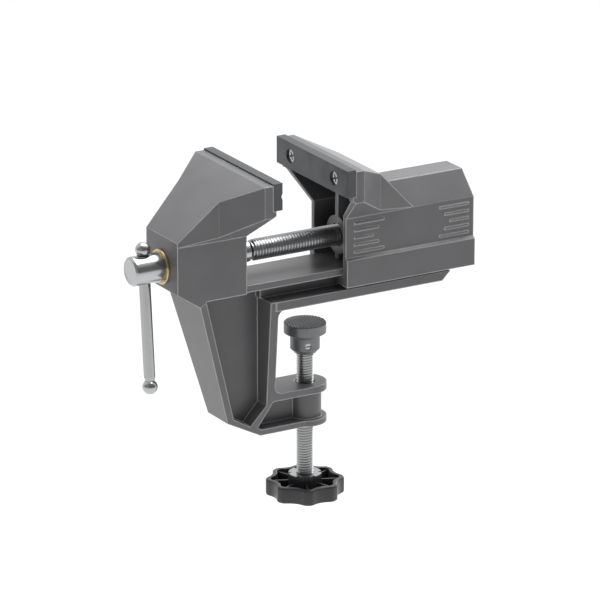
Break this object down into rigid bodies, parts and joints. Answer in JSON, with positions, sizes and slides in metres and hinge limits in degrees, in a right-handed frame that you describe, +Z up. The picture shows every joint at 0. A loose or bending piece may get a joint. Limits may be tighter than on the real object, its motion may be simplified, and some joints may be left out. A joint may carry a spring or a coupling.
{
  "type": "bench vise",
  "caption": "Small clamp-on bench vise with flared jaws, a T-rail, a main screw with a sliding tommy bar, and a C-frame with a clamp screw, ridged pad and star knob.",
  "frame": {"origin": "on the seat under the arm that rests on the table top, on the axis of the clamp screw", "axes": "+X along the jaw travel, away from the fixed jaw; +Z up; +Y across the jaws"},
  "size_m": [0.1698, 0.063, 0.162],
  "materials": {
    "cast_paint": "satin grey paint on a die casting",
    "plate_steel": "dark hardened steel",
    "bright_steel": "bright plated steel",
    "gold_plate": "yellow passivated",
    "pad_steel": "dark phosphated steel",
    "knob_black": "moulded black plastic"
  },
  "bodies": {
    "frame": {"frame_casting": "cast_paint", "fixed_jaw_plate": "plate_steel", "fixed_plate_screws": "bright_steel", "thrust_washer": "gold_plate"},
    "moving_jaw": {"moving_jaw_casting": "cast_paint", "moving_jaw_plate": "plate_steel", "moving_plate_screws": "bright_steel", "screw_nut": "bright_steel"},
    "spindle": {"lead_screw": "bright_steel", "retaining_collar": "bright_steel", "collar_pin": "bright_steel"},
    "tommy": {"tommy_bar": "bright_steel", "tommy_bar_upper_knob": "bright_steel", "tommy_bar_lower_knob": "bright_steel"},
    "pad": {"clamp_pad": "pad_steel", "pad_set_screw": "bright_steel"},
    "clamp_drive": {"clamp_screw": "bright_steel", "hand_knob": "knob_black", "knob_insert": "bright_steel"}
  },
  "joints": [
    {"name": "spindle_turn", "type": "hinge", "parent": "frame", "child": "spindle", "pos_m": [-0.0736, 0, 0.026], "axis": [1, 0, 0], "range_deg": [-3723, 7875]},
    {"name": "jaw_slide", "type": "slide", "parent": "frame", "child": "moving_jaw", "axis": [1, 0, 0], "range_m": [-0.0328, 0.0155]},
    {"name": "bar_slide", "type": "slide", "parent": "spindle", "child": "tommy", "axis": [0, 0.0872, 0.9962], "range_m": [0, 0.0447]},
    {"name": "clamp_travel", "type": "slide", "parent": "frame", "child": "pad", "axis": [0, 0, 1], "range_m": [-0.0135, 0.0123]},
    {"name": "clamp_turn", "type": "hinge", "parent": "pad", "child": "clamp_drive", "pos_m": [0, 0, -0.05], "axis": [0, 0, 1], "range_deg": [-3891, 3545.4]}
  ],
  "couplings": [
    {"joint": "spindle_turn", "follows": "jaw_slide", "rad_per_m": -4188.8},
    {"joint": "clamp_turn", "follows": "clamp_travel", "rad_per_m": 5026.5}
  ]
}
